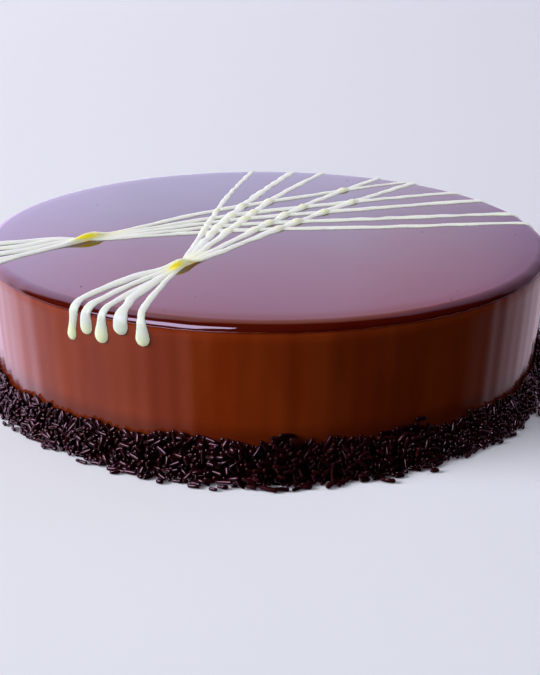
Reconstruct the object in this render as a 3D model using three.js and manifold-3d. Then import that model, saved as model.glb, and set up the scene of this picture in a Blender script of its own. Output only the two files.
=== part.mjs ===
// A whole round glazed chocolate cake: a dark mirror-glazed body in a thin milk chocolate band,
// two bunches of piped white chocolate lines that cross on top and drip over the rim, and a
// heap of chocolate sprinkles round the foot.
// Millimetres, +Z up. The origin is the centre of the underside, and the front is towards -Y.

import * as THREE from "three";
import { mergeVertices } from "three/addons/utils/BufferGeometryUtils.js";
import Module from "manifold-3d";

// ---- driving dimensions ----

const CAKE_RADIUS = 110; // outside of the chocolate band
const CAKE_HEIGHT = 50; // underside to the flat of the glaze
const FIT_GAP = 0.3; // air between two pieces that touch

const BAND_THICKNESS = 1.5;
const BAND_HEIGHT = 47; // mean height of the band's upper edge
const BAND_EDGE_WAVE = 0.3; // how far that edge wanders up and down
const BAND_BEVEL = 0.3;

const GLAZE_LIP = 0.3; // how far the glaze's rim stays inside the band's outer face
const SHOULDER_WIDTH = 4.5; // the glaze starts to fall away this far inside its rim
const SHOULDER_DROP = 3; // and falls this far before it meets the band

const HEAP_HEIGHT = 12.8; // mean height of the sprinkles up the wall
const HEAP_WIDTH = 7.1; // mean width of the sprinkles along the floor
const HEAP_LUMP = 1.6; // size of the heap's lumps and dips

const LINE_WIDTH = 2.4; // a piped line of ordinary width
const LINE_CROWN = 0.45; // its thickness
const CROWN_GROWTH = 0.6; // a wider stretch is thicker by its width to this power
const DROP_CROWN = 0.24; // a hanging drop is this share of its width thick
const END_BULB = 1.35; // half width of the drop at a line's far end
const TIP_HALF = 0.15; // half width of the very tip
const NECK_RUN = 1.5; // a drop runs into its line over this many of its own half widths
const BEND_RUN = 9; // a line starts to bend towards the rim this far inside it

const RING_SEGMENTS = 96;
const HEAP_SEGMENTS = 96;
const SHOULDER_STEPS = 5;
const LINE_SIDES = 5; // one side lies flat on the cake
const DRIP_STEPS = 12; // a line's steps from its round tip to the flat of the top
const TOP_STEPS = 9; // across the top
const END_STEPS = 8; // and over the far rim
const RIM_MARGIN = 3; // steps stay this close together on the flat inside a rim

// Each line is piped nearly straight through its bunch's pinch. "in" has the directions, in
// degrees anticlockwise from +X, in which it lies at the tip of its drip, at the top of the wall,
// at the end of the flat and BEND_RUN inside it, and "out" those in which it leaves the flat again
// and ends. "drip" and "end" are how far it runs down the wall at either end, and "bulb" is the
// width of the drop at its tip. "sway" is how far it bends to the left half way to the pinch, and
// "bow" how far at a third and at two thirds of the longer stretch after it. "girth" is its width
// in the neck of the drip, on the rim, half way to the pinch, in the pinch, half way on and on
// the far rim. "knot" is the mound in the pinch: its length, width and height, and "turn" the
// direction in which it lies.
const BUNCHES = [
  {
    pinch: [-29.5, -57],
    knot: [5, 2.6, 2.6],
    turn: 56,
    lines: [
      {
        in: [-122.9, -122.1, -122.4, -122.7], out: [47.3, 47.4],
        drip: 9.4, end: 3, bulb: 3.5, sway: 2.4, bow: [1.8, 2.6],
        girth: [2.2, 3.2, 5.0, 3.2, 3.8, 3.6],
      },
      {
        in: [-119.5, -119.4, -119.4, -119.6], out: [57.8, 57.8],
        drip: 6.2, end: 2, bulb: 4.3, sway: 0.8, bow: [2.4, 4.1],
        girth: [3.7, 3.0, 3.1, 3.3, 3.6, 3.3],
      },
      {
        in: [-116.8, -116.3, -116.4, -116.7], out: [74.3, 73.7],
        drip: 7.9, end: 3, bulb: 4.7, sway: -0.6, bow: [2.2, 3.9],
        girth: [3.0, 2.6, 3.5, 3.3, 3.5, 3.1],
      },
      {
        in: [-113.2, -112.9, -113.5, -115.0], out: [82.7, 81.8],
        drip: 3.9, end: 2, bulb: 4.8, sway: 0.7, bow: [3.4, 3.3],
        girth: [4.2, 3.7, 3.8, 3.3, 3.9, 3.5],
      },
      {
        in: [-109.2, -109.2, -110.2, -111.6], out: [94.2, 93.0],
        drip: 6.5, end: 3, bulb: 4.5, sway: 0.2, bow: [1.5, 2.5],
        girth: [2.7, 2.3, 2.1, 2.4, 2.4, 2.4],
      },
    ],
  },
  {
    pinch: [-67, -24.5],
    knot: [7, 2.6, 2.5],
    turn: 24,
    lines: [
      {
        in: [-162.2, -162.8, -162.8, -163.0], out: [2.0, 1.6],
        drip: 7.0, end: 3, bulb: 3.4, sway: 1.8, bow: [5.0, 1.8],
        girth: [3.4, 4.5, 4.9, 2.6, 3.5, 2.6],
      },
      {
        in: [-159.0, -159.4, -159.4, -159.2], out: [10.1, 9.2],
        drip: 4.8, end: 2, bulb: 3.8, sway: 3.4, bow: [8.2, 4.8],
        girth: [3.8, 4.5, 4.4, 2.6, 3.8, 3.4],
      },
      {
        in: [-155.6, -155.6, -155.6, -155.9], out: [23.8, 22.4],
        drip: 8.2, end: 3, bulb: 4.2, sway: 1.6, bow: [7.6, 4.9],
        girth: [3.4, 4.5, 4.2, 2.6, 4.0, 3.8],
      },
      {
        in: [-152.5, -152.0, -152.0, -153.0], out: [33.3, 31.2],
        drip: 5.6, end: 2, bulb: 3.6, sway: 0.4, bow: [8.4, 6.4],
        girth: [3.6, 4.0, 3.6, 2.6, 4.2, 3.1],
      },
      {
        in: [-149.6, -150.0, -150.4, -152.8], out: [49.8, 46.6],
        drip: 7.4, end: 3, bulb: 4.0, sway: 0.1, bow: [8.1, 6.0],
        girth: [3.0, 2.8, 2.4, 3.0, 4.0, 2.4],
      },
    ],
  },
];

// ---- solids and booleans ----

const wasm = await Module();
wasm.setup();

function toSolid(geometry) {
  const bare = geometry.clone();
  bare.deleteAttribute("normal");
  bare.deleteAttribute("uv");
  const merged = mergeVertices(bare, 1e-4);
  const mesh = new wasm.Mesh({
    numProp: 3,
    vertProperties: new Float32Array(merged.attributes.position.array),
    triVerts: new Uint32Array(merged.index.array),
  });
  return new wasm.Manifold(mesh);
}

function toGeometry(solid) {
  const mesh = solid.getMesh();
  const geometry = new THREE.BufferGeometry();
  geometry.setAttribute("position", new THREE.BufferAttribute(mesh.vertProperties, 3));
  geometry.setIndex(new THREE.BufferAttribute(mesh.triVerts, 1));
  geometry.computeVertexNormals();
  return geometry;
}

function named(name, geometry, color, roughness) {
  const material = new THREE.MeshStandardMaterial({ color, roughness, metalness: 0 });
  const mesh = new THREE.Mesh(geometry, material);
  mesh.name = name;
  return mesh;
}

// ---- turned shapes ----

// A small even spread of values between -1 and 1, the same for the same two numbers.
function scatter(a, b) {
  const value = Math.sin(a * 127.1 + b * 311.7) * 43758.5453;
  return 2 * (value - Math.floor(value)) - 1;
}

// Turns a profile of [radius, height] points round +Z. "shift" may move each point: it gets the
// point's number in the profile, its angle and its step round the ring, and gives [outward, up].
function turned(profile, segments, shift = () => [0, 0]) {
  const outline = profile.map(([r, z]) => new THREE.Vector2(r, z));
  const geometry = new THREE.LatheGeometry(outline, segments);
  const position = geometry.attributes.position;
  for (let i = 0; i < position.count; i += 1) {
    const corner = i % profile.length;
    const step = Math.floor(i / profile.length) % segments;
    const angle = (step / segments) * 2 * Math.PI;
    const [outward, up] = shift(corner, angle, step);
    const radius = profile[corner][0] + outward;
    const height = profile[corner][1] + up;
    position.setXYZ(i, radius * Math.cos(angle), radius * Math.sin(angle), height);
  }
  return toGeometry(toSolid(geometry));
}

const coreRadius = CAKE_RADIUS - BAND_THICKNESS - FIT_GAP;
const rimRadius = CAKE_RADIUS - GLAZE_LIP;
const rimHeight = BAND_HEIGHT + BAND_EDGE_WAVE + FIT_GAP;

function cakeBody() {
  const shoulder = new THREE.EllipseCurve(
    rimRadius - SHOULDER_WIDTH,
    rimHeight,
    SHOULDER_WIDTH,
    CAKE_HEIGHT - rimHeight,
    0,
    Math.PI / 2,
  );
  const curve = shoulder.getPoints(SHOULDER_STEPS).map((p) => [p.x, p.y]);
  const profile = [[0, 0], [coreRadius, 0], [coreRadius, rimHeight], ...curve, [0, CAKE_HEIGHT]];
  return turned(profile, RING_SEGMENTS);
}

function chocolateBand() {
  const inner = CAKE_RADIUS - BAND_THICKNESS;
  const profile = [
    [inner, 0],
    [CAKE_RADIUS, 0],
    [CAKE_RADIUS, BAND_HEIGHT - BAND_BEVEL],
    [CAKE_RADIUS - BAND_BEVEL, BAND_HEIGHT],
    [inner, BAND_HEIGHT],
    [inner, 0],
  ];
  const wave = (corner, angle) => {
    const rise = 0.6 * Math.sin(5 * angle + 0.7) + 0.4 * Math.sin(13 * angle + 2.1);
    return [0, profile[corner][1] > 0 ? BAND_EDGE_WAVE * rise : 0];
  };
  return turned(profile, RING_SEGMENTS, wave);
}

// The heap leans on the wall, steep at the top and spreading at the floor.
function sprinkleRing() {
  const wall = CAKE_RADIUS + FIT_GAP;
  const outline = [
    [0, 0],
    [1, 0],
    [1.02, 0.12],
    [0.8, 0.42],
    [0.5, 0.74],
    [0.22, 0.97],
    [0, 0.93],
    [0, 0],
  ];
  const profile = outline.map(([out, up]) => [wall + out * HEAP_WIDTH, up * HEAP_HEIGHT]);
  const lumps = (corner, angle, step) => {
    const [out, up] = outline[corner];
    const broad = 0.35 * Math.sin(4 * angle + 1.3) + 0.4 * Math.sin(11 * angle);
    const small = 0.3 * Math.sin(17 * angle + 2) + 0.65 * scatter(step, corner % (outline.length - 1));
    const lump = HEAP_LUMP * (broad + small);
    return [0.7 * out * lump, up * lump];
  };
  return turned(profile, HEAP_SEGMENTS, lumps);
}

// ---- piped lines ----

// The cake's outer profile from the middle of the top, over the rim and down the wall.
const skin = new THREE.Path();
skin.moveTo(0, CAKE_HEIGHT);
skin.lineTo(CAKE_RADIUS - SHOULDER_WIDTH, CAKE_HEIGHT);
skin.absellipse(
  CAKE_RADIUS - SHOULDER_WIDTH,
  CAKE_HEIGHT - SHOULDER_DROP,
  SHOULDER_WIDTH,
  SHOULDER_DROP,
  Math.PI / 2,
  0,
  true,
);
skin.lineTo(CAKE_RADIUS, 0);
const skinLength = skin.getLength();
const flatRadius = CAKE_RADIUS - SHOULDER_WIDTH;
const wallHeight = CAKE_HEIGHT - SHOULDER_DROP;
const rimRun = skinLength - flatRadius - wallHeight; // from the flat of the top over the rim

// Lays a point of the plan on the cake. Past the flat of the top, the plan's distance from the
// middle is measured along the skin, so a line that is long enough bends over the rim.
function draped(x, y, lift) {
  const run = Math.hypot(x, y);
  const along = Math.min(run / skinLength, 1);
  const foot = skin.getPoint(along);
  const slope = skin.getTangent(along);
  const radius = foot.x - slope.y * lift;
  const height = foot.y + slope.x * lift;
  return [(x / run) * radius, (y / run) * radius, height];
}

function polar(radius, degrees) {
  const angle = THREE.MathUtils.degToRad(degrees);
  return new THREE.Vector3(radius * Math.cos(angle), radius * Math.sin(angle), 0);
}

// A point a given share of the way from a to b, moved aside to the left.
function between(a, b, share, aside) {
  const heading = b.clone().sub(a).normalize();
  const left = new THREE.Vector3(-heading.y, heading.x, 0);
  return a.clone().lerp(b, share).addScaledVector(left, aside);
}

function lineRoute(line, pinch) {
  const middle = new THREE.Vector3(pinch[0], pinch[1], 0);
  const wallTop = flatRadius + rimRun;
  const entry = polar(flatRadius - BEND_RUN, line.in[3]);
  const far = polar(flatRadius, line.out[0]);
  return new THREE.CatmullRomCurve3([
    polar(wallTop + line.drip, line.in[0]),
    polar(wallTop, line.in[1]),
    polar(flatRadius, line.in[2]),
    entry,
    between(entry, middle, 0.5, line.sway),
    middle,
    between(middle, far, 1 / 3, line.bow[0]),
    between(middle, far, 2 / 3, line.bow[1]),
    far,
    polar(wallTop + line.end, line.out[1]),
  ]);
}

// Half of a line's width, a given way from its round tip: a drop of half width "bulb" that runs
// into the plain line.
function halfWidth(way, bulb, plain) {
  if (way < bulb) {
    return Math.max(TIP_HALF, bulb * Math.sqrt(1 - (1 - way / bulb) ** 2));
  }
  return plain + (bulb - plain) * Math.exp(-(((way - bulb) / (NECK_RUN * bulb)) ** 2));
}

// Runs smoothly from value to value.
function eased(place, places, values) {
  return places.slice(1).reduce((sum, next, k) => {
    const step = THREE.MathUtils.smoothstep(place, places[k], next);
    return sum + step * (values[k + 1] - values[k]);
  }, values[0]);
}

// How far along a line its given step lies. Steps crowd together over both rims.
function station(step, length, line) {
  const nearRun = rimRun + line.drip + RIM_MARGIN;
  const farRun = rimRun + line.end + RIM_MARGIN;
  if (step <= DRIP_STEPS) {
    return (nearRun * step) / DRIP_STEPS;
  }
  const onTop = (step - DRIP_STEPS) / TOP_STEPS;
  if (onTop <= 1) {
    return nearRun + (length - nearRun - farRun) * onTop;
  }
  return length - farRun * (1 - (step - DRIP_STEPS - TOP_STEPS) / END_STEPS);
}

// A rod of five sides, laid along the route. Its lowest side lies flat, just off the cake.
function pipedLine(line, pinch) {
  const route = lineRoute(line, pinch);
  const length = route.getLength();
  const steps = DRIP_STEPS + TOP_STEPS + END_STEPS;
  const geometry = new THREE.CylinderGeometry(1, 1, 1, LINE_SIDES, steps);
  const lowest = Math.cos(Math.PI / LINE_SIDES);
  const atRim = line.drip + rimRun;
  const atPinch = atRim + flatRadius - Math.hypot(...pinch);
  const middle = (atPinch + length) / 2;
  const atFarRim = length - line.end - rimRun;
  const places = [line.bulb, line.drip + rimRun / 2, (atRim + atPinch) / 2, atPinch, middle, atFarRim];
  const position = geometry.attributes.position;
  for (let i = 0; i < position.count; i += 1) {
    const step = Math.round((0.5 - position.getY(i)) * steps);
    const way = Math.min(station(step, length, line), length);
    const centre = route.getPointAt(way / length);
    const heading = route.getTangentAt(way / length);
    const plain = eased(way, places, line.girth) / 2;
    const start = halfWidth(way, line.bulb / 2, plain);
    const half = way < places[2] ? start : halfWidth(length - way, END_BULB, plain);
    const run = Math.hypot(centre.x, centre.y);
    const hangs = THREE.MathUtils.smoothstep(run, flatRadius + rimRun / 2, flatRadius + rimRun + 3);
    const flat = LINE_CROWN * ((2 * half) / LINE_WIDTH) ** CROWN_GROWTH;
    const crown = THREE.MathUtils.lerp(flat, DROP_CROWN * 2 * half, hangs);
    const aside = position.getX(i) * half;
    const lift = FIT_GAP + (crown * (position.getZ(i) + lowest)) / (1 + lowest);
    const level = Math.hypot(heading.x, heading.y);
    const x = centre.x - (heading.y / level) * aside;
    const y = centre.y + (heading.x / level) * aside;
    position.setXYZ(i, ...draped(x, y, lift));
  }
  return geometry;
}

// The mound where a bunch's lines cross on top of each other: a sphere with a flat underside.
function knot({ pinch, knot: [long, wide, high], turn }) {
  const geometry = new THREE.SphereGeometry(1, 14, 8);
  const position = geometry.attributes.position;
  const angle = THREE.MathUtils.degToRad(turn);
  for (let i = 0; i < position.count; i += 1) {
    const u = position.getX(i) * long;
    const v = -position.getZ(i) * wide;
    const lift = FIT_GAP + Math.max(0, high * position.getY(i));
    const x = pinch[0] + u * Math.cos(angle) - v * Math.sin(angle);
    const y = pinch[1] + u * Math.sin(angle) + v * Math.cos(angle);
    position.setXYZ(i, ...draped(x, y, lift));
  }
  return geometry;
}

function pipedLines() {
  const pieces = BUNCHES.flatMap((bunch) => [
    knot(bunch),
    ...bunch.lines.map((line) => pipedLine(line, bunch.pinch)),
  ]);
  return toGeometry(pieces.map(toSolid).reduce((sum, next) => sum.add(next)));
}

// ---- the cake ----

const cake = new THREE.Group();
cake.add(
  named("cake_body", cakeBody(), 0x2e0d08, 0.08),
  named("chocolate_band", chocolateBand(), 0x5c2109, 0.15),
  named("piped_lines", pipedLines(), 0xeaeddc, 0.35),
  named("sprinkle_ring", sprinkleRing(), 0x26120f, 0.25),
);

export default cake;
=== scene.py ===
# A whole chocolate chestnut cake: mirror glaze in a thin milk chocolate band, two bunches of
# piped white chocolate lines that cross on top and drip over the rim, and a heap of chocolate
# sprinkles round the foot. Shapes are worked out in millimetres and laid down in metres.

import math

import bpy
import numpy as np
from mathutils import Matrix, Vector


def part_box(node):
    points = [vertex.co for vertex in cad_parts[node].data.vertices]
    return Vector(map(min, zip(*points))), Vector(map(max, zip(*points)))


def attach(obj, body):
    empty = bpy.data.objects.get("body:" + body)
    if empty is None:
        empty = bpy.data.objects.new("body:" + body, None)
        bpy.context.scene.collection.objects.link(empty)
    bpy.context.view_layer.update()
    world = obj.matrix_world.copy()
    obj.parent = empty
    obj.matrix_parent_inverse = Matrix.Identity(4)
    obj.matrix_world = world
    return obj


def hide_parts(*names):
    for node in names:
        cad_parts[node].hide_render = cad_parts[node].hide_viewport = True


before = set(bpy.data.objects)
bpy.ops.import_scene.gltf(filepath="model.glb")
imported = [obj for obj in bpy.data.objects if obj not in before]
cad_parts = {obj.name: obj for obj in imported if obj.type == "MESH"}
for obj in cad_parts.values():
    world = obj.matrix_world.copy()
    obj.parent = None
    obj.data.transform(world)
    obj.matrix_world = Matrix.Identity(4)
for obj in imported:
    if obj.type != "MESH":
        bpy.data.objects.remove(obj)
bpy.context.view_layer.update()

MM = 0.001
TURN = 2 * math.pi
CAKE_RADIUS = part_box("chocolate_band")[1].x / MM
CAKE_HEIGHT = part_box("cake_body")[1].z / MM

# ---- sizes, in millimetres ----

SHOULDER_WIDTH = 4.5
SHOULDER_DROP = 3.0
ROLL_WIDTH = 5.0  # the flat starts to sink this far inside the shoulder
ROLL_DROP = 0.1
FLAT_RADIUS = CAKE_RADIUS - SHOULDER_WIDTH
WALL_TOP = CAKE_HEIGHT - SHOULDER_DROP

GLAZE_INSET = 0.15  # the glaze's rim stays this far inside the band's face
GLAZE_WAVE = 0.06
GLAZE_LIP = ((0.12, 0.3), (0.5, 0.55))  # how far inside the wall and below its top the rim curls in
LIP_DEPTH = 0.6
BODY_GAP = 0.2  # between the body and the band
TOP_WAVE = 0.02
GLAZE_BUBBLES = ((-127, 98), (-107, 103), (-104, 90), (-53, 101), (-57, 105))  # direction and reach
MORE_BUBBLES = 9
BUBBLE_SINK = 0.04

BAND_THICKNESS = 1.3
BAND_BEVEL = 0.16
BAND_RISE = 0.5  # its edge stands this far up the glaze's shoulder
BAND_EDGE_WAVE = 0.16
BAND_STREAK = 0.065  # how far it stands out and in where it was smoothed downwards

LINE_WIDTH = 2.4
LINE_SPREAD = 0.3  # fusing takes this off a line's width, so it is laid that much wider
LINE_HEIGHT = 0.45
LINE_SINK = 0.15
LINE_STEP = 0.5
LINE_SIDES = 16
LINE_WOBBLE = 0.16  # how unsteadily it is piped
LINE_UNEVENNESS = 0.07  # how much its width varies
BEND_RUN = 9  # how far inside the rim it starts to bend
END_BULB = 1.35  # half the width of its far end
FUSE_SIZE = 0.24  # the grain to which a bunch's lines are fused
DROP_HEIGHT = 0.95  # how thick a drop of four millimetres is
TOP_LINE_RISE = 0.5  # how much farther the top line of a pinch arches up
BIG_KNOT = (-8.2, 11.2)  # the crossing at which most chocolate has gathered
BIG_KNOT_REACH = 5
BIG_KNOT_SIZE = 1.9
KNOT_WIDTH = 0.42  # how much a knot adds to half of a line's width
KNOT_HEIGHT = 0.14
PRESSED_FLAT = (45, 85)  # crossings nearer the left pinch are flat, and farther from it full

HEAP_HEIGHT = 12.6
HEAP_WIDTH = 6.7
CORE_DROP = 2.2  # the heap's core is this much lower than its crest
CORE_INSET = 1.9  # and this far inside its outline
HEAP_CRESTS = (
    (-158, 8.0), (-150, 7.0), (-144, 7.0), (-139, 9.0), (-134, 10.6), (-126, 10.6), (-122, 10.4),
    (-119, 12.6), (-115, 10.6), (-108, 12.2), (-105, 13.9), (-100, 12.8), (-95, 12.6), (-91, 10.6),
    (-88, 14.8), (-85, 14.0), (-81, 11.4), (-79, 13.5), (-74, 11.8), (-69, 12.4), (-66, 13.8),
    (-61, 10.6), (-57, 10.0), (-50, 10.4), (-44, 9.2), (-37, 7.6), (-31, 8.8), (-24, 8.0),
)  # how high the heap stands up the wall there, by direction
STUCK_SPRINKLE = (-64.0, 14.8)  # one that caught on the wall above the heap: direction and height
STUCK_LENGTH = 4.2
SPRINKLE_COUNT = 4300
STRAY_COUNT = 190
SPRINKLE_RADIUS = 0.66
LONG_SPRINKLE = 3.9
WALL_GAP = 0.15  # between a sprinkle and the band

# The rings of a sprinkle: its end or middle, how far in towards full width, and the width there
SPRINKLE_RINGS = (
    (-1, 0.0, 0.55), (-1, 0.45, 0.85), (-1, 1.0, 1.0), (0, 0.0, 1.04),
    (1, 1.0, 1.0), (1, 0.45, 0.85), (1, 0.0, 0.55),
)

rng = np.random.default_rng(22)

# Each line is piped nearly straight through its bunch's pinch. A row of a bunch's lines has:
# - the directions, in degrees from +X, in which it lies at the tip of its drip, at the top of the
#   wall, at the end of the flat and BEND_RUN inside it,
# - those in which it leaves the flat again and ends,
# - how far it runs down the wall at its tip and at its end, and the width of the drop at its tip,
# - how far it bends to the left half way to the pinch, and a third and two thirds of the way on,
# - its width in the neck of the drip, on the rim, half way to the pinch, in the pinch, half way on
#   and on the far rim.
LINE_KEYS = ("in", "out", "drip", "end", "bulb", "sway", "bow", "girth")

FRONT_LINES = (
    ((-122.9, -122.1, -122.4, -122.7), (47.3, 47.4), 9.4, 3, 3.5, 2.4, (1.8, 2.6),
     (2.2, 3.2, 5.0, 3.2, 3.8, 3.6)),
    ((-119.5, -119.4, -119.4, -119.6), (57.8, 57.8), 6.2, 2, 4.3, 0.8, (2.4, 4.1),
     (3.7, 3.0, 3.1, 3.3, 3.6, 3.3)),
    ((-116.8, -116.3, -116.4, -116.7), (74.3, 73.7), 7.9, 3, 4.7, -0.6, (2.2, 3.9),
     (3.0, 2.6, 3.5, 3.3, 3.5, 3.1)),
    ((-113.2, -112.9, -113.5, -115.0), (82.7, 81.8), 3.9, 2, 4.8, 0.7, (3.4, 3.3),
     (4.2, 3.7, 3.8, 3.3, 3.9, 3.5)),
    ((-109.2, -109.2, -110.2, -111.6), (94.2, 93.0), 6.5, 3, 4.5, 0.2, (1.5, 2.5),
     (2.7, 2.3, 2.1, 2.4, 2.4, 2.4)),
)
LEFT_LINES = (
    ((-162.2, -162.8, -162.8, -163.0), (2.0, 1.6), 7.0, 3, 3.4, 1.8, (5.0, 1.8),
     (3.4, 4.5, 4.9, 3.0, 3.8, 2.8)),
    ((-159.0, -159.4, -159.4, -159.2), (10.1, 9.2), 4.8, 2, 3.8, 3.4, (8.2, 4.8),
     (3.8, 4.5, 4.4, 3.0, 4.1, 3.5)),
    ((-155.6, -155.6, -155.6, -155.9), (23.8, 22.4), 8.2, 3, 4.2, 1.6, (7.6, 4.9),
     (3.4, 4.5, 4.2, 3.0, 4.3, 3.9)),
    ((-152.5, -152.0, -152.0, -153.0), (33.3, 31.2), 5.6, 2, 3.6, 0.4, (8.4, 6.4),
     (3.6, 4.0, 3.6, 3.0, 4.5, 3.3)),
    ((-149.6, -150.0, -150.4, -152.8), (49.8, 46.6), 7.4, 3, 4.0, 0.1, (8.1, 6.0),
     (3.0, 2.8, 2.4, 3.2, 4.2, 2.6)),
)

# "top_line" is the number of the line that lies on top in the pinch. "pile" is how far each line
# lies above the next there, and over what way that fades out before and after it. The last key
# is the painted yellow glow, a streak of light painted on the pinch: how far it lies to the right
# and up, the direction in which it runs and half its length.
BUNCHES = {
    "front": {
        "pinch": (-29.5, -57),
        "top_line": 0,
        "fold": (-1.1, 0.0, 34, 3.0),
        "pile": (0.42, 6.5, 6.0),
        "lines": FRONT_LINES,
    },
    "left": {
        "pinch": (-67, -24.5),
        "top_line": 4,
        "fold": (-0.9, 0.9, 16, 4.4),
        "pile": (0.45, 9.5, 8.0),
        "lines": LEFT_LINES,
    },
}


# ---- finishes ----


class Value:
    """A number, colour or vector that a finish works out, so that maths on it reads as maths."""

    def __init__(self, finish, socket):
        self.finish = finish
        self.socket = socket

    def maths(self, operation, *others):
        return self.finish.node("ShaderNodeMath", {"operation": operation}, self, *others)

    def __add__(self, other):
        return self.maths("ADD", other)

    def __mul__(self, other):
        return self.maths("MULTIPLY", other)

    def __truediv__(self, other):
        return self.maths("DIVIDE", other)

    def __rsub__(self, other):
        return self.finish.node("ShaderNodeMath", {"operation": "SUBTRACT"}, other, self)

    __radd__ = __add__
    __rmul__ = __mul__

    def between(self, low, high):
        """0 below low and 1 above high, smooth in between. low may be the larger of the two."""
        settings = {"interpolation_type": "SMOOTHSTEP", "clamp": True}
        limits = {"From_Min": low, "From_Max": high}
        return self.finish.node("ShaderNodeMapRange", settings, Value=self, **limits)


class Finish:
    """A material, or the world, made of nodes."""

    def __init__(self, name, owner=None):
        self.owner = owner or bpy.data.materials.new(name)
        self.owner.use_nodes = True
        self.tree = self.owner.node_tree
        self.tree.nodes.clear()

    def node(self, kind, settings=None, *values, output=0, **named):
        """Adds a node, sets it up, fills its sockets by order and by name, and gives its output."""
        made = self.tree.nodes.new(kind)
        for key, value in (settings or {}).items():
            if key == "stops":
                self.set_stops(made.color_ramp, value)
            else:
                setattr(made, key, value)
        for socket, value in zip(made.inputs, values):
            self.fill(socket, value)
        for key, value in named.items():
            self.fill(made.inputs[key.replace("_", " ")], value)
        return Value(self, made.outputs[output])

    def fill(self, socket, value):
        if isinstance(value, Value):
            self.tree.links.new(value.socket, socket)
        else:
            socket.default_value = (*value, 1) if socket.type == "RGBA" else value

    @staticmethod
    def set_stops(ramp, stops):
        while len(ramp.elements) < len(stops):
            ramp.elements.new(1.0)
        for element, (place, colour) in zip(ramp.elements, stops):
            element.position = place
            element.color = (*colour, 1)

    def mix(self, share, first, second):
        """first where share is 0 and second where it is 1, for colours."""
        made = self.tree.nodes.new("ShaderNodeMix")
        made.data_type = "RGBA"
        for place, value in ((0, share), (6, first), (7, second)):
            self.fill(made.inputs[place], value)
        return Value(self, made.outputs[2])

    def tint(self, first, second):
        return self.node("ShaderNodeVectorMath", {"operation": "MULTIPLY"}, first, second)

    def add(self, first, second):
        return self.node("ShaderNodeVectorMath", {"operation": "ADD"}, first, second)

    def axes(self, vector):
        """A vector's parts along X, Y and Z."""
        split = self.node("ShaderNodeSeparateXYZ", None, vector)
        return [Value(self, part) for part in split.socket.node.outputs]

    def place(self, stretch=(1, 1, 1)):
        """Where a point lies on its piece, in metres, stretched along each axis."""
        return self.tint(self.node("ShaderNodeTexCoord", output="Object"), stretch)

    def noise(self, size, detail=3, stretch=(1, 1, 1)):
        """Cloudy noise between 0 and 1, with features of about that many millimetres."""
        named = {"Vector": self.place(stretch), "Scale": 1 / (size * MM), "Detail": detail}
        return self.node("ShaderNodeTexNoise", None, **named)

    def stored(self, name):
        return self.node("ShaderNodeAttribute", {"attribute_name": name}, output="Fac")

    def end(self, result, kind="ShaderNodeOutputMaterial"):
        self.fill(self.tree.nodes.new(kind).inputs[0], result)
        return self.owner

    def shine(self, colour, strength):
        """Ends the material in plain light."""
        return self.end(self.node("ShaderNodeEmission", None, colour, strength))

    def shade(self, colour, rough, bump=None, **named):
        """Ends the material in one shader. bump is a relief and its depth."""
        if bump:
            relief = {"Strength": 1.0, "Distance": bump[1] * MM, "Height": bump[0]}
            named["Normal"] = self.node("ShaderNodeBump", None, **relief)
        named = {"Base_Color": colour, "Roughness": rough, **named}
        return self.end(self.node("ShaderNodeBsdfPrincipled", None, **named))


def mirror_glaze():
    finish = Finish("mirror_glaze")
    cloud = finish.noise(30, detail=4)
    grain = finish.noise(0.5, detail=2)
    colour = finish.mix(cloud.between(0.3, 0.7), (0.046, 0.0024, 0.0008), (0.054, 0.0040, 0.0014))
    rough = 0.035 + 0.03 * finish.noise(9).between(0.45, 0.75)
    return finish.shade(colour, rough, bump=(grain, 0.0015), IOR=1.5)


def milk_chocolate():
    """Milk chocolate with painted shade: darker towards the heap at its foot and at its upper edge."""
    finish = Finish("milk_chocolate")
    cloud = finish.noise(14, detail=4, stretch=(1, 1, 0.35))
    fleck = finish.noise(1.1, detail=2).between(0.66, 0.8)
    body = finish.mix(cloud.between(0.3, 0.7), (0.175, 0.021, 0.0028), (0.215, 0.031, 0.0045))
    colour = finish.mix(fleck * 0.35, body, (0.26, 0.07, 0.02))
    # Painted shade: darker where the heap stands against the band and just above it, and along the
    # band's upper edge.
    height = finish.axes(finish.place())[2]
    foot = height.between(19 * MM, 12 * MM)
    edge = height.between(46.8 * MM, 47.4 * MM)
    colour = finish.mix(foot * 0.55 + edge * 0.8, colour, (0.045, 0.004, 0.001))
    rough = 0.13 + 0.08 * finish.noise(3, stretch=(1, 1, 0.3))
    streaks = finish.noise(0.9, stretch=(1, 1, 0.25))
    return finish.shade(colour, rough, bump=(streaks, 0.006), IOR=1.5)


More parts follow.
